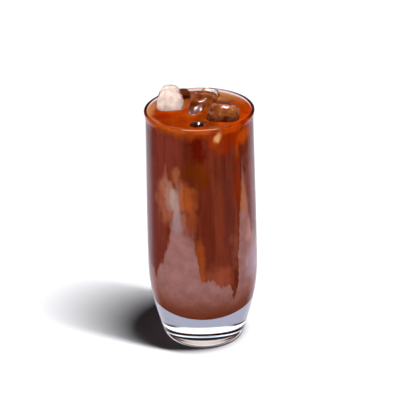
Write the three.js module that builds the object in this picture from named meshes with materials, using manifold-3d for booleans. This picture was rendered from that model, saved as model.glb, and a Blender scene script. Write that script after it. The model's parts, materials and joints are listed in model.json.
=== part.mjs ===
// Iced coffee in a tall clear tumbler. The glass has a thick foot and a gently swelling wall.
// Inside it a pale milky layer climbs the wall in plumes, dark coffee lies over it almost up
// to the rim, and lumps of half-melted ice stand out of the coffee.
// Millimetres, +Z up, origin at the middle of the foot, -Y towards the viewer.
import * as THREE from "three";
import { mergeVertices } from "three/addons/utils/BufferGeometryUtils.js";
import Module from "manifold-3d";

const wasm = await Module();
wasm.setup();

// Glass, outside
const glassHeight = 145;
const puntRadius = 20;
const puntRise = 2.4;
const footRadius = 21.5;
const heelRadius = 25.2;
const heelHeight = 5.6;
const heelPull = { r: 24, z: 0.6 };
const flankPull = { r: 28.2, z: 17 };
const bellyRadius = 32.3;
const bellyHeight = 47;
const bellyPull = 17;
const neckRadius = 30.8;
const neckHeight = 140.5;
const lipRadius = 31.5;
const lipRound = 0.9;
// Where the two pulls of the wall's curve stand between belly (0) and neck (1)
const wallPulls = { lower: 0.3, upper: 0.73, upperSwell: 0.27 };

// Glass, inside
const wallThickness = 1.9;
const floorHeight = 17;
const floorSpread = 17;
const bowlDrop = 18;

// Drink, kept clear of the wall and of the ice, with a gap between its two layers
const clearance = 0.3;
const layerGap = 0.6;
const drinkLevel = glassHeight - 2.2;
const milkHeight = 45;
const milkRippleHeight = 1.6;
const milkRipples = 13;

// Plumes of milk: angle round the wall from the front, how far each climbs (or dips), and how far
// it spreads to either side of its tip
const plumeBluntness = 1.5;
const plumeHug = 2.5;
const milkPlumes = [
  { angle: -27, rise: 66, before: 14, after: 18 },
  { angle: 49, rise: 70, before: 4.5, after: 14 },
  { angle: 36, rise: -9, before: 5, after: 4 },
  { angle: -98, rise: 46, before: 16, after: 15 },
  { angle: 108, rise: 52, before: 15, after: 20 },
  { angle: 152, rise: 62, before: 9, after: 15 },
  { angle: -146, rise: 70, before: 20, after: 12 },
];

// Ice: middle of each lump, its size along its own axes, its turn in degrees about X, then Y,
// then Z, how square it is (2 is an ellipsoid), how much it narrows towards its own +Z end, how
// far its -X side stays straight as it narrows, and how deep the melt has worn its faces
const iceLumps = [
  {
    name: "ice_tall",
    middle: [-15.3, 7.6, 141.3],
    size: [22, 17, 29.6],
    turn: [-8, 4, 4],
    square: 3.2,
    taper: 0.42,
    lean: 0.4,
    melt: 0.05,
  },
  {
    name: "ice_middle",
    middle: [1.4, 4.8, 142.4],
    size: [18.5, 14, 28],
    turn: [95, 0, -11],
    square: 4.6,
    taper: 0.8,
    lean: 0.6,
    melt: 0.05,
  },
  {
    name: "ice_right",
    middle: [13.6, -8.4, 140.8],
    size: [21.5, 18, 22],
    turn: [10, 4, -10],
    square: 3.4,
    taper: 0.16,
    lean: 0,
    melt: 0.08,
  },
  {
    name: "ice_front",
    middle: [-1.2, -18.6, 138.9],
    size: [14, 10, 12],
    turn: [20, 14, 30],
    square: 3.2,
    taper: 0.2,
    lean: 0,
    melt: 0.07,
  },
  {
    name: "ice_back",
    middle: [6.2, 22.6, 141.0],
    size: [14, 8, 14],
    turn: [-6, 10, -24],
    square: 3.2,
    taper: 0.2,
    lean: 0,
    melt: 0.07,
  },
  {
    name: "ice_behind",
    middle: [-8.9, 20.3, 139.8],
    size: [10.4, 8, 18],
    turn: [-10, 6, 14],
    square: 3.6,
    taper: 0.3,
    lean: 0,
    melt: 0.06,
  },
];
const meltWaves = 5;
const meltWaveNumber = 2.6;
const iceSeed = 87109;
const iceSeedStep = 104729;

// Facets
const sides = 72;
const puntSteps = 3;
const heelSteps = 3;
const flankSteps = 5;
const wallSteps = 4;
const lipSteps = 4;
const flareSteps = 2;
const bowlSteps = 7;
const borderRings = 6;
const iceSteps = 5;

// Looks
const clearGlass = { color: 0xe6eaee, roughness: 0.03, transparent: true, opacity: 0.35 };
const darkCoffee = { color: 0x74290f, roughness: 0.18 };
const milkyCoffee = { color: 0x96685e, roughness: 0.25 };
const clearIce = { color: 0xf1ece8, roughness: 0.06, transparent: true, opacity: 0.5 };

const { degToRad, euclideanModulo, clamp } = THREE.MathUtils;
const at = (r, z) => new THREE.Vector2(r, z);

// Stretches of a section in the (radius, height) plane
const line = (a, b) => ({ curve: new THREE.LineCurve(a, b), steps: 1 });
const bend = (a, pull, b, steps) => ({ curve: new THREE.QuadraticBezierCurve(a, pull, b), steps });
const sweep = (a, pullA, pullB, b, steps) => ({
  curve: new THREE.CubicBezierCurve(a, pullA, pullB, b),
  steps,
});
const halfRound = (middle, r, steps) => ({
  curve: new THREE.EllipseCurve(middle.x, middle.y, r, r, 0, Math.PI, false, 0),
  steps,
});

function outline(...stretches) {
  const points = [stretches[0].curve.getPoint(0)];
  for (const { curve, steps } of stretches) points.push(...curve.getPoints(steps).slice(1));
  return points;
}

// The swelling wall from belly to neck, moved inwards by inset
function wall(inset) {
  const rise = neckHeight - bellyHeight;
  const upperRadius = neckRadius + wallPulls.upperSwell * (bellyRadius - neckRadius);
  return [
    at(bellyRadius - inset, bellyHeight),
    at(bellyRadius - inset, bellyHeight + wallPulls.lower * rise),
    at(upperRadius - inset, bellyHeight + wallPulls.upper * rise),
    at(neckRadius - inset, neckHeight),
  ];
}

// The slight flare from the neck out to the lip
function flare(neck, lipSide) {
  const halfway = (neck.y + lipSide.y) / 2;
  return [neck, at(neck.x, halfway), at(lipSide.x, halfway), lipSide];
}

// From the middle of the foot up the outside and over the lip
function outsideOutline() {
  const foot = at(footRadius, 0);
  const heel = at(heelRadius, heelHeight);
  const outerWall = wall(0);
  const [belly] = outerWall;
  const lipMiddle = at(lipRadius - lipRound, glassHeight - lipRound);
  return outline(
    bend(at(0, puntRise), at(puntRadius / 2, puntRise), at(puntRadius, 0), puntSteps),
    line(at(puntRadius, 0), foot),
    bend(foot, at(heelPull.r, heelPull.z), heel, heelSteps),
    sweep(heel, at(flankPull.r, flankPull.z), at(belly.x, belly.y - bellyPull), belly, flankSteps),
    sweep(...outerWall, wallSteps),
    sweep(...flare(outerWall[3], at(lipRadius, lipMiddle.y)), flareSteps),
    halfRound(lipMiddle, lipRound, lipSteps),
  );
}

// From the inside of the lip down to the middle of the floor
function insideOutline() {
  const innerWall = wall(wallThickness);
  const [belly] = innerWall;
  const lipSide = at(lipRadius - 2 * lipRound, glassHeight - lipRound);
  const floor = at(0, floorHeight);
  return outline(
    sweep(...flare(innerWall[3], lipSide).reverse(), flareSteps),
    sweep(...innerWall.reverse(), wallSteps),
    sweep(belly, at(belly.x, belly.y - bowlDrop), at(floorSpread, floorHeight), floor, bowlSteps),
  );
}

// The drink's section: the inside of the glass drawn in by the clearance, up to the level
function drinkOutline() {
  const inside = insideOutline();
  const drawnIn = inside.map((point, i) => {
    const before = inside[Math.max(i - 1, 0)];
    const after = inside[Math.min(i + 1, inside.length - 1)];
    const along = after.clone().sub(before).normalize();
    return at(point.x + along.y * clearance, point.y - along.x * clearance);
  });
  drawnIn.at(-1).x = 0;
  const wet = drawnIn.filter((point) => point.y < drinkLevel);
  const dry = drawnIn[drawnIn.length - wet.length - 1];
  const brim = dry.clone().lerp(wet[0], (dry.y - drinkLevel) / (dry.y - wet[0].y));
  return [...wet.reverse(), brim, at(0, drinkLevel)];
}

// A section turned about Z. It runs anticlockwise and starts and ends on the axis.
function turned(points) {
  return new THREE.LatheGeometry(points, sides).rotateX(Math.PI / 2);
}

function withSharedCorners(geometry) {
  geometry.deleteAttribute("normal");
  geometry.deleteAttribute("uv");
  return mergeVertices(geometry);
}

function solid(geometry) {
  const closed = withSharedCorners(geometry);
  return new wasm.Manifold(
    new wasm.Mesh({
      numProp: 3,
      vertProperties: new Float32Array(closed.attributes.position.array),
      triVerts: new Uint32Array(closed.index.array),
    }),
  );
}

function geometryOf(body) {
  const mesh = body.getMesh();
  const geometry = new THREE.BufferGeometry();
  geometry.setAttribute("position", new THREE.BufferAttribute(mesh.vertProperties, 3));
  geometry.setIndex(new THREE.BufferAttribute(mesh.triVerts, 1));
  geometry.computeVertexNormals();
  return geometry;
}

// Height of the border between milk and dark coffee, at an angle from the front towards +X.
// The plumes cling to the wall and fade towards the middle.
function milkBorder(angle, r) {
  const share = clamp(r / (neckRadius - wallThickness - clearance), 0, 1);
  let height = milkHeight + milkRippleHeight * Math.sin(milkRipples * angle) * share;
  for (const plume of milkPlumes) {
    const away = euclideanModulo(angle - degToRad(plume.angle) + Math.PI, 2 * Math.PI) - Math.PI;
    const spread = degToRad(away < 0 ? plume.before : plume.after);
    const fall = Math.abs(away / spread) ** plumeBluntness;
    height += plume.rise * Math.exp(-fall) * share ** plumeHug;
  }
  return height;
}

// The same border moved up or down until it lies gap away, square to its own slope
function movedBorder(angle, r, gap) {
  const step = 0.01;
  const round = (milkBorder(angle + step, r) - milkBorder(angle - step, r)) / (2 * step * Math.max(r, 1));
  const outward = (milkBorder(angle, r + step) - milkBorder(angle, r - step)) / (2 * step);
  return milkBorder(angle, r) + gap * Math.hypot(1, round, outward);
}

// Everything under the moved border, wider than the drink
function underBorder(gap) {
  const reach = bellyRadius + 5;
  const corners = [0, 0, movedBorder(0, 0, gap)];
  const addRing = (r, heightAt) => {
    for (let i = 0; i < sides; i++) {
      const angle = (2 * Math.PI * i) / sides;
      corners.push(r * Math.sin(angle), -r * Math.cos(angle), heightAt(angle));
    }
  };
  for (let k = 1; k <= borderRings; k++) {
    const r = (reach * k) / borderRings;
    addRing(r, (angle) => movedBorder(angle, r, gap));
  }
  addRing(reach, () => 0);
  corners.push(0, 0, 0);

  const ring = (k, i) => 1 + (k - 1) * sides + (i % sides);
  const bottomMiddle = corners.length / 3 - 1;
  const faces = [];
  for (let i = 0; i < sides; i++) {
    faces.push(0, ring(1, i), ring(1, i + 1));
    for (let k = 1; k <= borderRings; k++) {
      faces.push(ring(k, i), ring(k + 1, i), ring(k + 1, i + 1));
      faces.push(ring(k, i), ring(k + 1, i + 1), ring(k, i + 1));
    }
    faces.push(bottomMiddle, ring(borderRings + 1, i + 1), ring(borderRings + 1, i));
  }
  const geometry = new THREE.BufferGeometry();
  geometry.setAttribute("position", new THREE.Float32BufferAttribute(corners, 3));
  geometry.setIndex(faces);
  return geometry;
}

// Repeatable draws between 0 and 1
function draws(seed) {
  const modulus = 2147483647;
  let state = seed;
  return () => {
    state = (state * 16807) % modulus;
    return state / modulus;
  };
}

// A rounded block whose faces are worn into shallow hollows and swells, grown outwards by grow
function iceGeometry(lump, order, grow) {
  const draw = draws(iceSeed + order * iceSeedStep);
  const waves = Array.from({ length: meltWaves }, () => ({
    way: new THREE.Vector3(draw() - 0.5, draw() - 0.5, draw() - 0.5).setLength(meltWaveNumber),
    phase: 2 * Math.PI * draw(),
  }));
  const geometry = withSharedCorners(new THREE.BoxGeometry(2, 2, 2, iceSteps, iceSteps, iceSteps));
  const corners = geometry.attributes.position;
  const half = new THREE.Vector3(...lump.size).multiplyScalar(0.5);
  const point = new THREE.Vector3();
  for (let i = 0; i < corners.count; i++) {
    point.fromBufferAttribute(corners, i);
    const reach = point.toArray().reduce((sum, v) => sum + Math.abs(v) ** lump.square, 0);
    point.multiplyScalar(reach ** (-1 / lump.square));
    const facing = point.toArray().map((v) => Math.sign(v) * Math.abs(v) ** (lump.square - 1));
    const wear = waves.reduce((sum, wave) => sum + Math.sin(wave.way.dot(point) + wave.phase), 0);
    const narrowing = 1 - (lump.taper * (point.z + 1)) / 2;
    point.multiplyScalar(1 + (lump.melt * wear) / meltWaves).multiply(half);
    point.x = point.x * narrowing - lump.lean * half.x * (1 - narrowing);
    point.y *= narrowing;
    point.add(new THREE.Vector3(...facing).setLength(grow));
    corners.setXYZ(i, ...point);
  }
  return geometry;
}

function place(object, lump) {
  object.position.set(...lump.middle);
  object.rotation.set(...lump.turn.map(degToRad), "ZYX");
  object.updateMatrix();
  return object;
}

function part(name, geometry, look) {
  const mesh = new THREE.Mesh(geometry, new THREE.MeshStandardMaterial({ metalness: 0, ...look }));
  mesh.name = name;
  return mesh;
}

const drink = solid(turned(drinkOutline()));
const milk = drink.intersect(solid(underBorder(-layerGap / 2)));
let coffee = drink.subtract(solid(underBorder(layerGap / 2)));

const ice = new THREE.Group();
iceLumps.forEach((lump, order) => {
  ice.add(place(part(lump.name, iceGeometry(lump, order, 0), clearIce), lump));
  const pocket = iceGeometry(lump, order, clearance);
  coffee = coffee.subtract(solid(pocket.applyMatrix4(place(new THREE.Object3D(), lump).matrix)));
});

const icedCoffee = new THREE.Group();
icedCoffee.add(
  part("glass", turned([...outsideOutline(), ...insideOutline().slice(1)]), clearGlass),
  part("milky_coffee", geometryOf(milk), milkyCoffee),
  part("dark_coffee", geometryOf(coffee), darkCoffee),
  ice,
);

export default icedCoffee;
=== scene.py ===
import json
from math import comb, cos, exp, hypot, pi, radians, sin

import bmesh
import bpy
import numpy as np
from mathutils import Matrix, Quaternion, Vector, noise
from mathutils.bvhtree import BVHTree

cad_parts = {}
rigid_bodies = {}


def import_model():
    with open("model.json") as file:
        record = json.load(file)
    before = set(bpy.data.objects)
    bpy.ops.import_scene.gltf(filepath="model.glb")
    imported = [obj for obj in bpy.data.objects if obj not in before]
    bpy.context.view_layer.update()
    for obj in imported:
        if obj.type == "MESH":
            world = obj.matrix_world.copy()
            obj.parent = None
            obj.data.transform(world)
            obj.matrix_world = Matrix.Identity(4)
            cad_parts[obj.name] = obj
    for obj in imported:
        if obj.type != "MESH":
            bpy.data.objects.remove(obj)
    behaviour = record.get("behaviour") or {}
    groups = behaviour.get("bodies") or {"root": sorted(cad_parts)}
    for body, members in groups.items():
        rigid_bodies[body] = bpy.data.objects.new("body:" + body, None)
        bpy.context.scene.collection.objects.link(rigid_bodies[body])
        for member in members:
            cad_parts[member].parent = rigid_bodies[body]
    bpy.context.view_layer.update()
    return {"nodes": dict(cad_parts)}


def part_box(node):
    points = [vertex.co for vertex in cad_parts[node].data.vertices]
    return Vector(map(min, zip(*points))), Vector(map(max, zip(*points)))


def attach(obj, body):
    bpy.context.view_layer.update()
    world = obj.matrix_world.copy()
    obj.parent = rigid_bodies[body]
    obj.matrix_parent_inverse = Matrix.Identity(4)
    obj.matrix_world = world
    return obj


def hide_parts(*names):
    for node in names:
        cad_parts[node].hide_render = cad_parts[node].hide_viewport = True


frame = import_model()
scene = bpy.context.scene
mm = 0.001  # sizes below are millimetres, meshes are metres


def linear(code):  # "#rrggbb" as the eye sees it, to the linear colour that a shader takes
    shares = [int(code[i:i + 2], 16) / 255 for i in (1, 3, 5)]
    return [s / 12.92 if s <= 0.04045 else ((s + 0.055) / 1.055) ** 2.4 for s in shares] + [1]


def put(tree, kind, inputs=(), out=0, **settings):  # adds a node, sets and links it, gives one output
    node = tree.nodes.new(kind)
    for name, value in settings.items():
        setattr(node, name, value)
    for socket, value in dict(inputs).items():
        if isinstance(value, bpy.types.NodeSocket):
            tree.links.new(value, node.inputs[socket])
        else:
            node.inputs[socket].default_value = value
    return node.outputs[out] if node.outputs else node


def newMaterial(name, settings):
    material = bpy.data.materials.new(name)
    material.use_nodes = True
    shader = material.node_tree.nodes["Principled BSDF"]
    for socket, value in settings.items():
        shader.inputs[socket].default_value = value
    return material, material.node_tree, shader


def newPiece(name, verts, faces, materials):
    mesh = bpy.data.meshes.new(name)
    mesh.from_pydata([tuple(v) for v in verts], [], faces)
    for material in materials:
        mesh.materials.append(material)
    piece = bpy.data.objects.new(name, mesh)
    scene.collection.objects.link(piece)
    return piece


def keepPlain(piece):  # what the modifiers make becomes the piece's own mesh
    evaluated = piece.evaluated_get(bpy.context.evaluated_depsgraph_get())
    mesh = bpy.data.meshes.new_from_object(evaluated)
    piece.modifiers.clear()
    piece.data = mesh
    mesh.name = piece.name
    return piece


def tidyMesh(piece, weld, outward=True):  # closes seams and poles, turns the faces outwards
    work = bmesh.new()
    work.from_mesh(piece.data)
    bmesh.ops.remove_doubles(work, verts=work.verts, dist=weld)
    if outward:
        bmesh.ops.recalc_face_normals(work, faces=work.faces)
    work.to_mesh(piece.data)
    work.free()
    piece.data.shade_smooth()
    return piece


def bezier(pulls, steps):  # points on a curve of any degree, the first one left out
    degree = len(pulls) - 1
    points = []
    for i in range(1, steps + 1):
        t = i / steps
        shares = [comb(degree, k) * (1 - t) ** (degree - k) * t ** k for k in range(degree + 1)]
        points.append(tuple(sum(s * p[axis] for s, p in zip(shares, pulls)) for axis in (0, 1)))
    return points


# Camera: a long lens a metre away, looking down on the rim
view = {
    "target": (0, 0, 72.5), "distance": 1000, "elevation": 26.79, "roll": -1.36,
    "picture": 400, "focal": 1701.0, "middle": (201.8, 222.06), "sensor": 36,
}


def addCamera():
    camera = bpy.data.cameras.new("camera")
    holder = bpy.data.objects.new("camera", camera)
    scene.collection.objects.link(holder)
    target = Vector(view["target"]) * mm
    tilt = radians(view["elevation"])
    holder.location = target + Vector((0, -cos(tilt), sin(tilt))) * view["distance"] * mm
    aim = (target - holder.location).to_track_quat("-Z", "Y")
    holder.rotation_mode = "QUATERNION"
    holder.rotation_quaternion = aim @ Quaternion((0, 0, 1), radians(view["roll"]))
    camera.sensor_width = view["sensor"]
    camera.lens = view["focal"] * view["sensor"] / view["picture"]
    camera.shift_x = 0.5 - view["middle"][0] / view["picture"]
    camera.shift_y = view["middle"][1] / view["picture"] - 0.5
    scene.camera = holder


addCamera()
print("camera placed")

# Tumbler: its outline is turned about the upright axis by a node tree
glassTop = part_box("glass")[1].z / mm
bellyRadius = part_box("glass")[1].x / mm
tumbler = {
    "puntRadius": 20, "puntRise": 2.4, "footRadius": 21.5,
    "heel": (25.2, 5.6), "heelPull": (24, 0.6), "flankPull": (28.2, 17),
    "bellyHeight": 47, "bellyPull": 17,
    "neck": (30.8, 140.5), "wallPulls": (0.3, 0.73), "upperSwell": 0.27,
    "lipRadius": 31.5, "lipRound": 0.9,
    "wall": 1.9, "floorHeight": 17, "floorSpread": 17, "bowlDrop": 18,
    "sides": 192, "weld": 0.002,
}


def wallPulls(inset):  # from belly to neck, drawn in by the wall's thickness where it is the inside
    neckRadius, neckHeight = tumbler["neck"]
    base = tumbler["bellyHeight"]
    rise = neckHeight - base
    lower, upper = tumbler["wallPulls"]
    upperRadius = neckRadius + tumbler["upperSwell"] * (bellyRadius - neckRadius)
    return [
        (bellyRadius - inset, base),
        (bellyRadius - inset, base + lower * rise),
        (upperRadius - inset, base + upper * rise),
        (neckRadius - inset, neckHeight),
    ]


def flarePulls(inset, lipRadius):  # the slight turn outwards under the lip
    neckRadius, neckHeight = tumbler["neck"]
    lipBase = glassTop - tumbler["lipRound"]
    halfway = (neckHeight + lipBase) / 2
    return [(neckRadius - inset, neckHeight), (neckRadius - inset, halfway), (lipRadius, halfway),
            (lipRadius, lipBase)]


def outsideOutline():
    heel, belly = tumbler["heel"], (bellyRadius, tumbler["bellyHeight"])
    foot = (tumbler["footRadius"], 0)
    punt = (tumbler["puntRadius"], 0)
    lip = tumbler["lipRound"]
    points = [(0, tumbler["puntRise"])]
    points += bezier([points[0], (punt[0] / 2, tumbler["puntRise"]), punt], 14)
    points += bezier([punt, foot], 3)
    points += bezier([foot, tumbler["heelPull"], heel], 14)
    points += bezier([heel, tumbler["flankPull"], (belly[0], belly[1] - tumbler["bellyPull"]), belly], 26)
    points += bezier(wallPulls(0), 24)
    points += bezier(flarePulls(0, tumbler["lipRadius"]), 8)
    middle = tumbler["lipRadius"] - lip
    for i in range(1, 13):
        turn = pi * i / 12
        points.append((middle + lip * cos(turn), glassTop - lip + lip * sin(turn)))
    return points


def insideOutline():  # from the lip down to the middle of the floor
    lipInside = tumbler["lipRadius"] - 2 * tumbler["lipRound"]
    wall = wallPulls(tumbler["wall"])
    belly, floor = wall[0], (0, tumbler["floorHeight"])
    points = bezier(flarePulls(tumbler["wall"], lipInside)[::-1], 8)
    points += bezier(wall[::-1], 24)
    points += bezier([belly, (belly[0], belly[1] - tumbler["bowlDrop"]),
                      (tumbler["floorSpread"], floor[1]), floor], 30)
    return points


def revolveTree():
    tree = bpy.data.node_groups.new("turnedOutline", "GeometryNodeTree")
    face = tree.interface
    face.new_socket("Outline", in_out="INPUT", socket_type="NodeSocketGeometry")
    face.new_socket("Sides", in_out="INPUT", socket_type="NodeSocketInt")
    face.new_socket("Weld", in_out="INPUT", socket_type="NodeSocketFloat")
    face.new_socket("Finish", in_out="INPUT", socket_type="NodeSocketMaterial")
    face.new_socket("Turned", in_out="OUTPUT", socket_type="NodeSocketGeometry")
    given = put(tree, "NodeGroupInput").node.outputs
    outlinePoints = put(tree, "GeometryNodeAttributeDomainSize", {0: given["Outline"]}, "Point Count")
    columns = put(tree, "ShaderNodeMath", {0: given["Sides"], 1: 1}, operation="ADD")
    grid = put(tree, "GeometryNodeMeshGrid", {"Vertices X": outlinePoints, "Vertices Y": columns})
    index = put(tree, "GeometryNodeInputIndex")
    step = put(tree, "ShaderNodeMath", {0: index, 1: columns}, operation="DIVIDE")
    row = put(tree, "ShaderNodeMath", {0: step}, operation="FLOOR")
    column = put(tree, "ShaderNodeMath", {0: index, 1: columns}, operation="MODULO")
    around = put(tree, "ShaderNodeMath", {0: column, 1: given["Sides"]}, operation="DIVIDE")
    turn = put(tree, "ShaderNodeMath", {0: around, 1: 2 * pi}, operation="MULTIPLY")
    onOutline = put(tree, "GeometryNodeSampleIndex", {
        "Geometry": given["Outline"], "Value": put(tree, "GeometryNodeInputPosition"), "Index": row,
    }, data_type="FLOAT_VECTOR")
    turned = put(tree, "ShaderNodeVectorRotate", {"Vector": onOutline, "Angle": turn},
                 rotation_type="Z_AXIS")
    swept = put(tree, "GeometryNodeSetPosition", {"Geometry": grid, "Position": turned})
    welded = put(tree, "GeometryNodeMergeByDistance", {"Geometry": swept, "Distance": given["Weld"]})
    smooth = put(tree, "GeometryNodeSetShadeSmooth", {"Geometry": welded})
    real = put(tree, "GeometryNodeRealizeInstances", {"Geometry": smooth})
    finished = put(tree, "GeometryNodeSetMaterial", {"Geometry": real, "Material": given["Finish"]})
    put(tree, "NodeGroupOutput", {"Turned": finished})
    return tree


def setInputs(modifier, values):  # by the sockets' identifiers
    for item in modifier.node_group.interface.items_tree:
        if item.in_out == "INPUT" and item.name in values:
            modifier[item.identifier] = values[item.name]


def clearGlass():
    # Soda-lime glass, pressed and fire polished: colourless in the wall, a lavender grey where
    # the light crosses the thick foot
    material, tree, shader = newMaterial("fire polished soda-lime glass", {
        "Base Color": linear("#ffffff"), "Transmission Weight": 1, "IOR": 1.52,
    })
    place = put(tree, "ShaderNodeTexCoord", out="Object")
    rough = put(tree, "ShaderNodeTexNoise", {"Vector": place, "Scale": 1 / (9 * mm), "Detail": 3})
    range01 = put(tree, "ShaderNodeMapRange", {"Value": rough, "To Min": 0.0, "To Max": 0.012})
    tree.links.new(range01, shader.inputs["Roughness"])
    volume = put(tree, "ShaderNodeVolumeAbsorption", {"Color": linear("#c9c9d8"), "Density": 24})
    tree.links.new(volume, tree.nodes["Material Output"].inputs["Volume"])
    return material


def makeTumbler():
    outline = outsideOutline() + insideOutline()
    verts = [(r * mm, 0, z * mm) for r, z in outline]
    piece = newPiece("tumbler", verts, [], [])
    nodes = piece.modifiers.new("turn", "NODES")
    nodes.node_group = revolveTree()
    setInputs(nodes, {"Sides": tumbler["sides"], "Weld": tumbler["weld"] * mm, "Finish": clearGlass()})
    keepPlain(piece)
    tidyMesh(piece, tumbler["weld"] * mm)
    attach(piece, "root")
    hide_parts("glass")
    return piece


makeTumbler()
print("tumbler turned")

# Ice: the lumps that stand out of the drink, worn by the melt
lumps = {
    "ice_tall": "cloudy", "ice_back": "cloudy", "ice_behind": "clear",
    "ice_middle": "clear", "ice_right": "clear", "ice_front": "clear",
}
ice = {
    "weld": 0.001, "levels": 3, "easing": 10, "easeFactor": 0.5,
    "scallop": 6.5, "scallopDepth": 0.45, "scallopShape": 0.8, "ripple": 1.8, "rippleDepth": 0.06,
    "sink": 0.1, "heartDepth": 2.8, "heartTop": 0.7, "heartWander": 1.2, "heartGrain": 3,
}


def clearIce():
    # Clear ice, wet all over: like soft glass, dark where it bends the light away
    material, tree, shader = newMaterial("wet clear ice", {
        "Base Color": linear("#fffaf6"), "Transmission Weight": 1, "IOR": 1.31,
    })
    place = put(tree, "ShaderNodeTexCoord", out="Object")
    film = put(tree, "ShaderNodeTexNoise", {"Vector": place, "Scale": 1 / (5 * mm), "Detail": 3})
    rough = put(tree, "ShaderNodeMapRange", {"Value": film, "To Min": 0.0, "To Max": 0.12})
    tree.links.new(rough, shader.inputs["Roughness"])
    return material


def cloudyIce():
    # The white heart of a frozen block: trapped air in soft upright veils
    material, tree, shader = newMaterial("cloudy ice heart", {"Roughness": 0.5, "Specular IOR Level": 0})
    place = put(tree, "ShaderNodeTexCoord", out="Object")
    stretch = put(tree, "ShaderNodeMapping", {"Vector": place, "Rotation": (0.5, 0.3, 0.2),
                                              "Scale": (1 / (8 * mm), 1 / (14 * mm), 1 / (20 * mm))})
    veils = put(tree, "ShaderNodeTexNoise", {"Vector": stretch, "Scale": 1, "Detail": 2})
    share = put(tree, "ShaderNodeMapRange", {"Value": veils, "From Min": 0.35, "From Max": 0.65})
    colour = put(tree, "ShaderNodeMix", {0: share, 6: linear("#ab9994"), 7: linear("#cfc2bb")}, 2,
                 data_type="RGBA")
    tree.links.new(colour, shader.inputs["Base Color"])
    return material


def makeHeart(lump, finish):  # the cloudy heart inside a lump, drawn in from its surface
    heart = newPiece(lump.name + "-heart", [], [], [])
    heart.data = lump.data.copy()
    heart.data.materials.clear()
    heart.data.materials.append(finish)
    shrunk = []
    for vertex in heart.data.vertices:
        drawn = ice["heartDepth"] * (1 - ice["heartTop"] * max(0, vertex.normal.z))
        drawn += ice["heartWander"] * noise.noise(vertex.co / (ice["heartGrain"] * mm))
        shrunk.extend(vertex.co - vertex.normal * drawn * mm)
    heart.data.vertices.foreach_set("co", shrunk)
    heart.data.shade_smooth()
    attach(heart, "root")
    return heart


def makeLump(node, finish):
    piece = newPiece(node.replace("_", "-"), [], [], [])
    piece.data = frame["nodes"][node].data.copy()
    piece.data.materials.clear()
    piece.data.materials.append(finish)
    tidyMesh(piece, ice["weld"] * mm, False)  # a node already points the right way
    split = piece.modifiers.new("split", "SUBSURF")
    split.subdivision_type = "SIMPLE"
    split.levels = split.render_levels = ice["levels"]
    ease = piece.modifiers.new("ease", "SMOOTH")
    ease.factor = ice["easeFactor"]
    ease.iterations = ice["easing"]
    keepPlain(piece)
    worn = []
    for vertex in piece.data.vertices:
        point = vertex.co / mm
        nearest, second = noise.voronoi(point / ice["scallop"])[0][:2]
        hollow = max(0, second - nearest) ** ice["scallopShape"]  # hollows that meet in ridges
        dent = -ice["scallopDepth"] * hollow
        dent += noise.noise(point / ice["ripple"]) * ice["rippleDepth"]
        worn.extend(vertex.co + vertex.normal * dent * mm)
    piece.data.vertices.foreach_set("co", worn)
    piece.data.shade_smooth()
    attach(piece, "root")
    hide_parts(node)
    return piece


clear, cloudy = clearIce(), cloudyIce()
iceLumps = [makeLump(node, clear) for node in lumps]
for lump, look in zip(iceLumps, lumps.values()):
    if look == "cloudy":
        makeHeart(lump, cloudy)
print("ice worn")

# Drink: milk below, dark coffee above, the border between them climbing the wall in plumes
drink = {
    "level": 142.8, "reach": 0.12, "meniscus": 0.85, "meniscusSpread": 1.0,
    "milkHeight": 45, "ripple": 1.6, "ripples": 13, "bluntness": 1.5, "hug": 2.5, "hugRadius": 28.6,
    "sides": 240, "lowWall": 34, "milkRows": 24, "coffeeRows": 40, "borderRings": 10, "weld": 0.0005,
    "surfaceRings": 46, "crowding": 1.6, "iceClimb": 0.5, "iceSpread": 0.9, "swell": 0.12, "swellGrain": 9,
    "iceTouch": 0.03, "topDepth": 0.4, "topLean": 0.35, "wallMargin": 0.1,  # which faces are which surface
    "crease": 40,  # degrees past which an edge stays sharp
    "curveSpan": 150, "curveSteps": 240,  # the painted border: full height in mm, points once round
    "drift": [  # how the pattern wanders: grain in mm, reach in degrees and mm
        ((8, 8, 8), (6, 5, 0)), ((2.5, 2.5, 3), (3, 4, 0)), ((1.6, 1.6, 10), (2.4, 8, 0)),
    ],
}
colourEdge = [  # where milk meets coffee on the wall, once round from the left: angle, height
    (-75, 52), (-64, 50), (-61, 46), (-59, 46), (-57, 51), (-52, 56), (-46, 58), (-43, 63), (-40, 69),
    (-37, 74), (-35, 80), (-33, 88), (-31, 96), (-28, 106), (-25, 107), (-24, 98), (-23, 90), (-20, 83),
    (-17, 80), (-13, 77), (-9, 75), (-7, 71), (-6, 66), (-5, 58), (-3, 52), (-1, 49.5), (5, 50.5),
    (10, 50), (13, 48), (15, 47), (17, 45.5), (20, 45), (25, 44), (30, 43.5), (33, 41), (35, 37),
    (38, 33), (40, 40), (41.5, 50), (42, 60), (42.5, 70), (43, 80), (45, 90), (48, 100), (49, 108),
    (50, 114), (52, 112), (54, 106), (57, 98), (59, 90), (61, 82), (64, 76), (70, 72), (80, 66),
    (86, 60), (91, 58), (95, 63), (99, 66), (102, 78), (105, 92), (108, 98), (111, 95), (114, 82),
    (119, 78), (123, 64), (128, 60), (133, 58), (137, 52), (141, 56), (144, 70), (146, 86), (149, 98),
    (152, 107), (155, 103), (157, 90), (161, 84), (165, 70), (169, 66), (173, 56), (178, 52), (183, 44),
    (187, 42), (191, 50), (196, 55), (200, 66), (203, 70), (206, 84), (209, 92), (212, 110), (214, 115),
    (217, 111), (219, 98), (223, 90), (226, 76), (231, 72), (236, 60), (240, 56), (244, 58), (248, 54),
    (252, 62), (255, 70), (258, 85), (262, 91), (265, 88), (267, 76), (272, 70), (276, 58), (280, 55),
    (285, 52),
]
plumes = [  # angle from the front, climb, spread before and after the tip
    (-27, 66, 14, 18), (49, 70, 4.5, 14), (36, -9, 5, 4), (-98, 46, 16, 15),
    (108, 52, 15, 20), (152, 62, 9, 15), (-146, 70, 20, 12),
]


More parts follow.
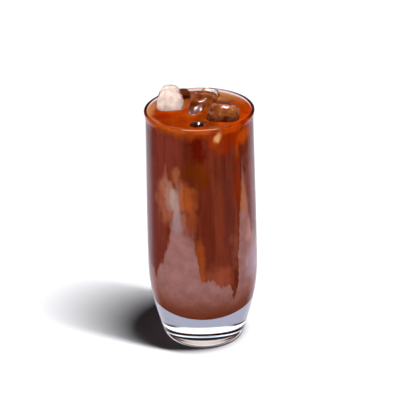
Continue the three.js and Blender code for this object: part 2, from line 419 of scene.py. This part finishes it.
def milkBorder(angle, radius):  # height of the border, angle in degrees
    share = min(max(radius / drink["hugRadius"], 0), 1)
    height = drink["milkHeight"] + drink["ripple"] * sin(drink["ripples"] * radians(angle)) * share
    for tip, climb, before, after in plumes:
        away = (angle - tip + 180) % 360 - 180
        fall = abs(away / (before if away < 0 else after)) ** drink["bluntness"]
        height += climb * exp(-fall) * share ** drink["hug"]
    return height


inside = sorted((z, r) for r, z in insideOutline())
insideHeights = [z for z, r in inside]
insideRadii = [r for z, r in inside]


def wallRadius(height):  # the drink reaches just into the glass
    return float(np.interp(height, insideHeights, insideRadii)) + drink["reach"]


def ringOf(radiusAt, heightAt):
    ring = []
    for i in range(drink["sides"]):
        angle = 360 * i / drink["sides"]
        r, z = radiusAt(angle), heightAt(angle)
        ring.append((r * sin(radians(angle)) * mm, -r * cos(radians(angle)) * mm, z * mm))
    return ring


def closedBody(name, rings, start, end, materials):  # rings in order, between two points on the axis
    count = drink["sides"]
    verts = [start] + [v for ring in rings for v in ring] + [end]
    faces = []
    last = len(verts) - 1
    for i in range(count):
        j = (i + 1) % count
        faces.append((0, 1 + j, 1 + i))
        for k in range(len(rings) - 1):
            a, b = 1 + k * count, 1 + (k + 1) * count
            faces.append((a + i, a + j, b + j, b + i))
        a = 1 + (len(rings) - 1) * count
        faces.append((a + i, a + j, last))
    piece = newPiece(name, verts, faces, materials)
    return tidyMesh(piece, drink["weld"] * mm)


def borderAtWall(angle):
    return milkBorder(angle, drink["hugRadius"])


def borderRings():  # from the wall in to the axis
    rings = []
    for k in range(1, drink["borderRings"]):
        share = 1 - k / drink["borderRings"]
        rings.append(ringOf(
            lambda angle: wallRadius(borderAtWall(angle)) * share,
            lambda angle: milkBorder(angle, wallRadius(borderAtWall(angle)) * share),
        ))
    return rings


def milkRings():
    rings = []
    for z, r in inside:
        if r > 0.01 and z < drink["lowWall"]:
            rings.append(ringOf(lambda angle: r + drink["reach"], lambda angle: z - drink["reach"] * 0.8))
    for k in range(drink["milkRows"] + 1):
        share = k / drink["milkRows"]

        def height(angle):
            return drink["lowWall"] + (borderAtWall(angle) - drink["lowWall"]) * share
        rings.append(ringOf(lambda angle: wallRadius(height(angle)), height))
    return rings


def coffeeRings(iceTree):
    rings = []
    brim = drink["level"] + drink["meniscus"]
    for k in range(drink["coffeeRows"] + 1):
        share = k / drink["coffeeRows"]

        def height(angle):
            return borderAtWall(angle) + (brim - borderAtWall(angle)) * share
        rings.append(ringOf(lambda angle: wallRadius(height(angle)), height))
    edge = wallRadius(drink["level"])
    for k in range(drink["surfaceRings"]):
        share = k / drink["surfaceRings"]
        radius = edge * (1 - share ** drink["crowding"])

        def surface(angle):
            climb = drink["meniscus"] * exp(-(edge - radius) / drink["meniscusSpread"])
            at = Vector((radius * sin(radians(angle)), -radius * cos(radians(angle)), drink["level"])) * mm
            near = iceTree.find_nearest(at)[3] / mm
            swell = drink["swell"] * noise.noise(at / (drink["swellGrain"] * mm))
            return drink["level"] + climb + drink["iceClimb"] * exp(-near / drink["iceSpread"]) + swell
        rings.append(ringOf(lambda angle: radius, surface))
    return rings


tints = {  # on the side: (angle, height), (half width in degrees, half height), colour, share
    "coffee": [
        ((-58, 92), (15, 48), "#6a2f2a", 0.85),
        ((-43, 97), (15, 17), "#8e5038", 0.85),
        ((-37, 102), (6, 9), "#9a7060", 0.8),
        ((-31.5, 100), (5, 6), "#9c8880", 0.85),
        ((-40, 128), (24, 14), "#6b2c22", 0.9),
        ((4, 88), (8, 36), "#5c2114", 0.8),
        ((20, 84), (7, 36), "#702f1d", 0.8),
        ((30, 88), (7, 42), "#58241c", 0.85),
        ((18, 51), (18, 9), "#83402c", 0.75),
        ((-4, 118), (16, 10), "#5c2200", 0.85),
        ((-3, 135), (10, 14), "#4f0600", 0.9),
        ((-41, 114), (3, 7), "#8a5036", 0.7),
        ((-27, 114), (5, 8), "#925330", 0.75),
        ((-12, 88), (8, 14), "#7c3a1e", 0.8),
        ((-20, 88), (4, 8), "#94583f", 0.7),
        ((-22, 103), (4, 11), "#965c40", 0.7),
        ((-43, 107), (5, 7), "#95614f", 0.6),
        ((37, 68), (6, 14), "#7c4030", 0.7),
        ((-14, 102), (11, 10), "#94481f", 0.85),
        ((-2, 63), (5, 17), "#8c4119", 0.75),
        ((42, 108), (5, 22), "#742206", 0.9),
        ((42, 137), (34, 9), "#7e2000", 0.95),
        ((44, 130), (4, 6), "#963602", 0.8),
        ((36, 142.5), (26, 3), "#a83a00", 0.85),
        ((54, 136), (11, 6), "#9c3e04", 0.9),
        ((20, 137), (9, 7), "#8c3006", 0.9),
        ((20, 138.4), (4.5, 3.6), "#d09a68", 0.85),
        ((-30, 143), (50, 4.5), "#8f3c0c", 0.7),
        ((-40, 143.6), (60, 1.6), "#a8480f", 0.7),
        ((64, 98), (14, 26), "#7d4540", 0.8),
        ((120, 128), (30, 15), "#8c3610", 0.75),
        ((-120, 128), (28, 13), "#6b2a1c", 0.9),
        ((156, 120), (12, 18), "#5a1c0c", 0.8),
        ((-159, 98), (8, 14), "#8c4418", 0.7),
        ((135, 92), (6, 26), "#601c10", 0.8),
        ((-125, 84), (7, 30), "#5c211b", 0.8),
    ],
    "milk": [
        ((-30, 98.5), (8, 9), "#9a8078", 0.9),
        ((-28, 87), (7, 9), "#8f7a7c", 0.7),
        ((50, 101), (7, 18), "#a2623c", 0.85),
        ((65, 74), (12, 8), "#b1857b", 0.7),
        ((66, 54), (15, 13), "#a38b97", 0.7),
        ((-146, 98), (9, 12), "#a58c86", 0.8),
        ((152, 90), (7, 14), "#a0643f", 0.7),
        ((-98, 76), (10, 10), "#a28a88", 0.7),
    ],
}
surfaceShadeAndLight = [  # painted shade and light on the open top, darker beside and between the ice lumps, paler towards the back wall, with a painted reflection at the front right: place, half width and depth, colour, share
    ((4, -9), (10, 14), "#8c3a06", 0.85),
    ((-9, 26), (10, 6), "#6a2806", 0.9),
    ((6, 19), (8, 5), "#a0643c", 0.8),
    ((10, 8), (10, 8), "#a84c10", 0.8),
    ((9, -24), (6, 4), "#b8683c", 0.8),
    ((15, 20), (8, 5), "#d89050", 0.8),
    ((-7, 15), (5, 8), "#8c4818", 0.8),
]
underIceShade = [  # painted shade below the ice, darkest by the lump behind and the middle lump's left side, in the same columns
    ((-9, 21), (8, 6), "#4a1a04", 0.9),
    ((-3, 11), (6, 9), "#5a2206", 0.85),
]


def colourBorder(angle):
    start = colourEdge[0][0]
    return float(np.interp((angle - start) % 360 + start, *zip(*colourEdge)))


def tinted(tree, colour, flat, ragged, spots):  # soft torn patches of other colours
    for spot, half, code, share in spots:
        away = put(tree, "ShaderNodeVectorMath", {0: flat, 1: (*spot, 0)}, operation="SUBTRACT")
        scaled = put(tree, "ShaderNodeVectorMath", {0: away, 1: (*half, 1)}, operation="DIVIDE")
        oval = put(tree, "ShaderNodeVectorMath", {0: scaled}, "Value", operation="LENGTH")
        far = put(tree, "ShaderNodeMath", {0: ragged, 1: oval}, operation="ADD")
        weight = put(tree, "ShaderNodeMapRange", {"Value": far, "From Min": 1.25, "From Max": 0.35,
                                                  "To Max": share}, interpolation_type="SMOOTHSTEP")
        colour = put(tree, "ShaderNodeMix", {0: weight, 6: colour, 7: linear(code)}, 2, data_type="RGBA")
    return colour


def swirledCoffee():
    # Iced coffee with milk, seen through the glass that it wets, so with no gloss of its own:
    # a mauve milk cloud, maroon to orange coffee hanging down into it in ragged tongues
    material, tree, shader = newMaterial("milk swirled into coffee", {
        "Roughness": 0.6, "Specular IOR Level": 0.0,
    })
    place = put(tree, "ShaderNodeTexCoord", out="Object")
    inMm = put(tree, "ShaderNodeVectorMath", {0: place, 1: (1 / mm,) * 3}, operation="MULTIPLY")
    axes = put(tree, "ShaderNodeSeparateXYZ", {0: inMm}).node.outputs
    toFront = put(tree, "ShaderNodeMath", {0: axes["Y"], 1: -1}, operation="MULTIPLY")
    turn = put(tree, "ShaderNodeMath", {0: axes["X"], 1: toFront}, operation="ARCTAN2")
    degrees = put(tree, "ShaderNodeMath", {0: turn, 1: 180 / pi}, operation="MULTIPLY")
    flat = put(tree, "ShaderNodeCombineXYZ", {"X": degrees, "Y": axes["Z"]})
    drifted = [flat]
    for grain, reach in drink["drift"]:
        fine = put(tree, "ShaderNodeVectorMath", {0: inMm, 1: grain}, operation="DIVIDE")
        wander = put(tree, "ShaderNodeTexNoise", {"Vector": fine, "Scale": 1, "Detail": 2}, "Color")
        centred = put(tree, "ShaderNodeVectorMath", {0: wander, 1: (0.5,) * 3}, operation="SUBTRACT")
        drifted.append(put(tree, "ShaderNodeVectorMath", {0: centred, 1: reach, 2: drifted[-1]},
                           operation="MULTIPLY_ADD"))
    soft, torn = drifted[1], drifted[-1]
    flatAxes = put(tree, "ShaderNodeSeparateXYZ", {0: torn}).node.outputs

    span, steps = drink["curveSpan"], drink["curveSteps"]
    along = put(tree, "ShaderNodeMapRange", {"Value": flatAxes["X"], "From Min": -180, "From Max": 180})
    curve = put(tree, "ShaderNodeFloatCurve", {"Value": along}).node
    line = curve.mapping.curves[0]
    for i in range(1, steps):
        line.points.new(i / steps, colourBorder(360 * i / steps - 180) / span)
    line.points[0].location = (0, colourBorder(-180) / span)
    line.points[-1].location = (1, colourBorder(180) / span)
    curve.mapping.update()
    border = put(tree, "ShaderNodeMath", {0: curve.outputs[0], 1: span}, operation="MULTIPLY")
    above = put(tree, "ShaderNodeMath", {0: border, 1: flatAxes["Y"]}, operation="SUBTRACT")
    blur = put(tree, "ShaderNodeMapRange", {"Value": axes["Z"], "From Min": 50, "From Max": 105,
                                            "To Min": 1.0, "To Max": 12.0})
    sharp = put(tree, "ShaderNodeMath", {0: above, 1: blur}, operation="DIVIDE")
    milky = put(tree, "ShaderNodeMapRange", {"Value": sharp, "From Min": -1, "From Max": 1},
                interpolation_type="SMOOTHSTEP")

    streakMap = put(tree, "ShaderNodeVectorMath", {0: inMm, 1: (1 / 3, 1 / 3, 1 / 38)},
                    operation="MULTIPLY")
    streaks = put(tree, "ShaderNodeTexNoise", {"Vector": streakMap, "Scale": 1, "Detail": 3,
                                               "Distortion": 0.5})
    clouds = put(tree, "ShaderNodeTexNoise", {"Vector": inMm, "Scale": 1 / 7, "Detail": 4})

    ragged = put(tree, "ShaderNodeMapRange", {"Value": clouds, "To Min": -0.9, "To Max": 0.9})
    bases = {"coffee": ("#672a1a", "#552012", streaks, 0.1), "milk": ("#8f6460", "#815a56", clouds, 0.04)}
    layers = {}
    for layer, (light, dark, pattern, depth) in bases.items():
        colour = put(tree, "ShaderNodeMix", {
            0: put(tree, "ShaderNodeMapRange", {"Value": pattern, "From Min": 0.35, "From Max": 0.65}),
            6: linear(dark), 7: linear(light),
        }, 2, data_type="RGBA")
        colour = tinted(tree, colour, soft, ragged, tints[layer])
        grain = put(tree, "ShaderNodeMapRange", {"Value": pattern, "From Min": 0.32, "From Max": 0.68,
                                                 "To Min": 1 - depth, "To Max": 1 + depth})
        layers[layer] = put(tree, "ShaderNodeVectorMath", {0: colour, "Scale": grain}, operation="SCALE")
    # the milk turns browner towards the bottom
    lowShare = put(tree, "ShaderNodeMapRange", {"Value": flatAxes["Y"], "From Min": 46, "From Max": 22},
               interpolation_type="SMOOTHSTEP")
    browningLow = put(tree, "ShaderNodeMix", {0: lowShare, 6: layers["milk"], 7: linear("#733a26")}, 2,
                  data_type="RGBA")
    mixed = put(tree, "ShaderNodeMix", {0: milky, 6: layers["coffee"], 7: browningLow}, 2, data_type="RGBA")
    tree.links.new(mixed, shader.inputs["Base Color"])
    return material


def coffeeSurface():
    # The drink's open top: strong coffee, lit orange in its upper millimetres and paler where the wall
    # lets more light in; no gloss, because it would only mirror the white ice
    material, tree, shader = newMaterial("open coffee surface", {
        "Roughness": 0.3, "Specular IOR Level": 0.0,
    })
    place = put(tree, "ShaderNodeTexCoord", out="Object")
    clouds = put(tree, "ShaderNodeTexNoise", {"Vector": place, "Scale": 1 / (9 * mm), "Detail": 4})
    share = put(tree, "ShaderNodeMapRange", {"Value": clouds, "From Min": 0.35, "From Max": 0.65})
    deep = put(tree, "ShaderNodeMix", {0: share, 6: linear("#d03803"), 7: linear("#e0580c")}, 2,
               data_type="RGBA")
    level = put(tree, "ShaderNodeVectorMath", {0: place, 1: (1 / mm, 1 / mm, 0)}, operation="MULTIPLY")
    radius = put(tree, "ShaderNodeVectorMath", {0: level}, "Value", operation="LENGTH")
    wavy = put(tree, "ShaderNodeMath", {0: share, 1: 3, 2: radius}, operation="MULTIPLY_ADD")
    edge = put(tree, "ShaderNodeMapRange", {"Value": wavy, "From Min": 26.5, "From Max": 29.8})
    toRight = put(tree, "ShaderNodeVectorMath", {0: level, 1: (1, -0.8, 0)}, "Value",
                  operation="DOT_PRODUCT")
    lit = put(tree, "ShaderNodeMapRange", {"Value": toRight, "From Min": 20, "From Max": 0})
    edge = put(tree, "ShaderNodeMath", {0: edge, 1: lit}, operation="MULTIPLY")
    paler = put(tree, "ShaderNodeMix", {0: edge, 6: deep, 7: linear("#e2935a")}, 2, data_type="RGBA")
    ragged = put(tree, "ShaderNodeMapRange", {"Value": clouds, "To Min": -0.6, "To Max": 0.6})
    # painted shade beside the ice, painted light towards the back wall and a painted reflection on the open
    # top
    colour = tinted(tree, paler, level, ragged, surfaceShadeAndLight)
    tree.links.new(colour, shader.inputs["Base Color"])
    return material


def coffeeUnderIce():
    # Coffee against the sunken sides of the ice: wetted by it, so with no gloss, in brown swirls under
    # painted shade that darkens them with depth
    material, tree, shader = newMaterial("coffee under ice", {"Roughness": 0.6, "Specular IOR Level": 0.0})
    place = put(tree, "ShaderNodeTexCoord", out="Object")
    clouds = put(tree, "ShaderNodeTexNoise", {"Vector": place, "Scale": 1 / (5 * mm), "Detail": 4,
                                              "Distortion": 0.5})
    swirls = put(tree, "ShaderNodeMapRange", {"Value": clouds, "From Min": 0.38, "From Max": 0.68})
    height = put(tree, "ShaderNodeSeparateXYZ", {0: place}, "Z")
    lit = put(tree, "ShaderNodeMapRange", {"Value": height, "From Min": 130 * mm, "From Max": 142 * mm})
    share = put(tree, "ShaderNodeMath", {0: lit, 1: swirls}, operation="MULTIPLY")
    depths = put(tree, "ShaderNodeMix", {0: share, 6: linear("#662808"), 7: linear("#c06c36")}, 2,
                 data_type="RGBA")
    flat = put(tree, "ShaderNodeVectorMath", {0: place, 1: (1 / mm, 1 / mm, 0)}, operation="MULTIPLY")
    ragged = put(tree, "ShaderNodeMapRange", {"Value": clouds, "To Min": -0.6, "To Max": 0.6})
    # painted shade in patches under the ice
    colour = tinted(tree, depths, flat, ragged, underIceShade)
    tree.links.new(colour, shader.inputs["Base Color"])
    return material


def shrunkIce():  # all lumps as one cutter, a little smaller, so that the ice wets the drink
    joined = bmesh.new()
    for lump in iceLumps:
        joined.from_mesh(lump.data)
    joined.normal_update()
    for vertex in joined.verts:
        vertex.co -= vertex.normal * ice["sink"] * mm
    mesh = bpy.data.meshes.new("iceCutter")
    joined.to_mesh(mesh)
    tree = BVHTree.FromBMesh(joined)
    joined.free()
    cutter = bpy.data.objects.new("iceCutter", mesh)
    scene.collection.objects.link(cutter)
    return cutter, tree


def makeDrink():
    side = swirledCoffee()
    cutter, iceTree = shrunkIce()
    border = borderRings()
    floor = (0, 0, (tumbler["floorHeight"] - drink["reach"]) * mm)
    middle = (0, 0, milkBorder(0, 0) * mm)
    milk = closedBody("milky-coffee", milkRings() + border, floor, middle, [side])
    top = (0, 0, drink["level"] * mm)
    coffee = closedBody("dark-coffee", border[::-1] + coffeeRings(iceTree), middle, top,
                        [side, coffeeSurface(), coffeeUnderIce()])
    cut = coffee.modifiers.new("ice pockets", "BOOLEAN")
    cut.operation = "DIFFERENCE"
    cut.solver = "MANIFOLD"
    cut.object = cutter
    keepPlain(coffee)
    bpy.data.objects.remove(cutter)
    for face in coffee.data.polygons:
        radius = hypot(face.center.x, face.center.y) / mm
        height = face.center.z / mm
        wetsIce = iceTree.find_nearest(face.center)[3] < drink["iceTouch"] * mm
        high = height > drink["level"] - drink["topDepth"] and face.normal.z > drink["topLean"]
        offWall = radius < wallRadius(height) - drink["wallMargin"]
        face.material_index = 2 if wetsIce else 1 if high and offWall else 0
    for piece, node in ((milk, "milky_coffee"), (coffee, "dark_coffee")):
        piece.data.set_sharp_from_angle(angle=radians(drink["crease"]))
        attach(piece, "root")
        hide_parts(node)


makeDrink()
print("drink poured")

# Floor and light
studio = {"floorHalf": 3000, "aim": (0, 0, 70), "brightest": 4, "domeBend": 0.25}


def addFloor():
    # Matt paper, greyer than white and lit harder, so that less light comes back into the shadow
    half = studio["floorHalf"] * mm
    material = newMaterial("matt paper sweep", {
        "Base Color": linear("#7c7c7e"), "Roughness": 0.9, "Specular IOR Level": 0,
    })[0]
    floor = newPiece("floor", [(-half, -half, 0), (half, -half, 0), (half, half, 0), (-half, half, 0)],
                     [(0, 1, 2, 3)], [material])
    floor.visible_glossy = False
    floor.visible_transmission = False
    return floor


def addLight(name, place, size, energy, receivers, shape="RECTANGLE"):
    light = bpy.data.lights.new(name, "AREA")
    light.shape = shape
    light.size, light.size_y = size[0] * mm, size[1] * mm
    light.energy = energy
    holder = bpy.data.objects.new(name, light)
    scene.collection.objects.link(holder)
    holder.location = Vector(place) * mm
    toAim = Vector(studio["aim"]) * mm - holder.location
    holder.rotation_euler = toAim.to_track_quat("-Z", "Y").to_euler()
    holder.light_linking.receiver_collection = receivers
    return holder


dome = {  # what the glass sees round it, by the sine of the height above the horizon
    "behind": [(-0.55, "#d6ccd8", 1.15), (-0.3, "#d3d5de", 1.3), (-0.21, "#c8ccd6", 1.25),
               (-0.185, "#ffffff", 2.4), (0.25, "#f2feff", 2.4), (0.3, "#3a3f40", 0.6),
               (0.33, "#3a3f40", 0.6), (0.345, "#f2feff", 2.4), (0.385, "#f2feff", 2.4),
               (0.415, "#3c5566", 0.6), (0.74, "#31404d", 0.35), (0.84, "#fff1dc", 2.0)],
    "flanks": [(-0.55, "#d6ccd8", 1.15), (-0.3, "#d3d5de", 1.3), (-0.23, "#c8ccd6", 1.25),
               (-0.2, "#23211f", 0.3), (-0.17, "#23211f", 0.3), (-0.15, "#ffffff", 2.4),
               (0.38, "#f2feff", 2.4), (0.44, "#31404d", 0.35)],
    "mirrored": [(-0.55, "#d6ccd8", 1.15), (-0.4, "#d3d5de", 1.08), (-0.3, "#2a1c12", 0.4)],
    "around": [(-0.85, "#e09a74", 2.2), (-0.7, "#201c1a", 0.4), (0.0, "#15130f", 0.4),
               (0.7, "#15130f", 0.4), (0.84, "#fff1dc", 2.0), (1.0, "#fff6ee", 2.0)],
}


def addDome():
    world = bpy.data.worlds.new("studio dome")
    scene.world = world
    world.use_nodes = True
    world.cycles_visibility.diffuse = False
    tree = world.node_tree
    way = put(tree, "ShaderNodeTexCoord", out="Generated")
    axes = put(tree, "ShaderNodeSeparateXYZ", {0: way}).node.outputs
    sideways = put(tree, "ShaderNodeMath", {0: axes["X"], 1: axes["X"]}, operation="MULTIPLY")
    bent = put(tree, "ShaderNodeMath", {0: sideways, 1: -studio["domeBend"], 2: axes["Z"]},
               operation="MULTIPLY_ADD")  # the bands bend up to either side
    heights = {"behind": bent, "flanks": bent, "mirrored": axes["Z"], "around": axes["Z"]}
    bands = {}
    brightest = studio["brightest"]  # a colour ramp holds no more than 1, so brightness is divided here
    for part, stops in dome.items():
        height = put(tree, "ShaderNodeMapRange", {"Value": heights[part], "From Min": -1})
        ramp = put(tree, "ShaderNodeValToRGB", {0: height}).node
        marks = ramp.color_ramp.elements
        while len(marks) < len(stops):
            marks.new(0.5)
        for mark, (sine, code, strength) in zip(marks, stops):
            mark.position = (sine + 1) / 2
            mark.color = [c * strength / brightest for c in linear(code)[:3]] + [1]
        bands[part] = ramp.outputs[0]
    aside = put(tree, "ShaderNodeMapRange", {"Value": sideways, "From Min": 0.1, "From Max": 0.3})
    backdrop = put(tree, "ShaderNodeMix", {0: aside, 6: bands["behind"], 7: bands["flanks"]}, 2,
                   data_type="RGBA")
    behind = put(tree, "ShaderNodeMapRange", {"Value": axes["Y"], "From Min": 0.35, "From Max": 0.75},
                 interpolation_type="SMOOTHSTEP")
    steep = put(tree, "ShaderNodeMath", {0: axes["Z"]}, operation="ABSOLUTE")
    level = put(tree, "ShaderNodeMapRange", {"Value": steep, "From Min": 0.8, "From Max": 0.65})
    ahead = put(tree, "ShaderNodeMapRange", {"Value": axes["Y"], "From Min": -0.3, "From Max": 0.2,
                                             "To Min": 0.72})  # dimmer towards the viewer
    walls = put(tree, "ShaderNodeVectorMath", {0: backdrop, "Scale": ahead}, operation="SCALE")
    through = put(tree, "ShaderNodeMix", {0: level, 6: bands["around"], 7: walls}, 2, data_type="RGBA")
    shine = put(tree, "ShaderNodeMix", {0: behind, 6: linear("#2a1208"), 7: bands["mirrored"]}, 2,
                data_type="RGBA")
    isMirrored = put(tree, "ShaderNodeLightPath", out="Is Reflection Ray")  # dark flags for the rim's shine
    colour = put(tree, "ShaderNodeMix", {0: isMirrored, 6: through, 7: shine}, 2, data_type="RGBA")
    background = tree.nodes["Background"]
    tree.links.new(colour, background.inputs["Color"])
    background.inputs["Strength"].default_value = brightest


floor = addFloor()
onFloor = bpy.data.collections.new("onFloor")
onFloor.objects.link(floor)
onObject = bpy.data.collections.new("onObject")
for piece in scene.objects:
    if piece.type == "MESH" and piece != floor:
        onObject.objects.link(piece)
onIce = bpy.data.collections.new("onIce")
for piece in iceLumps:
    onIce.objects.link(piece)
floorLights = {  # place, size, energy
    "floorKey": ((1310, -640, 4780), (300, 2330), 1490),
}
objectLights = {
    "frontLeft": ((-700, -1000, 230), (900, 400), 17),
    "frontRight": ((700, -1000, 230), (900, 400), 17),
    "sideLeft": ((-1200, 100, 230), (700, 400), 12),
    "sideRight": ((1200, 100, 230), (700, 400), 12),
    "overhead": ((-150, -250, 1300), (900, 900), 5),
}
glints = {  # small bright lamps, each for the one lump that shows it
    "ice-right": [((165, 225, 908), (120, 100), 2.8), ((645, 85, 637), (150, 110), 4)],
    "ice-middle": [((753, 24, 414), (130, 130), 4), ((72, 315, 877), (30, 110), 1.2),
                   ((-175, 399, 812), (40, 120), 1.2)],
    "ice-front": [((195, 488, 730), (90, 50), 1.4)],
    "ice-back": [((-263, -178, 874), (420, 420), 16)],
    "ice-tall": [((-300, 300, 900), (140, 140), 4)],
}
for name, (place, size, energy) in floorLights.items():
    addLight(name, place, size, energy, onFloor)
for name, (place, size, energy) in objectLights.items():
    addLight(name, place, size, energy, onObject).visible_glossy = False
for name, lamps in glints.items():
    onLump = bpy.data.collections.new("on " + name)
    onLump.objects.link(bpy.data.objects[name])
    for place, size, energy in lamps:
        addLight(name + " glint", place, size, energy, onLump, "ELLIPSE")
addLight("ice sky", (0, 900, 560), (1400, 700), 1.5, onIce)
addDome()
scene.view_settings.view_transform = "Standard"
print("lights set")

bpy.context.view_layer.update()
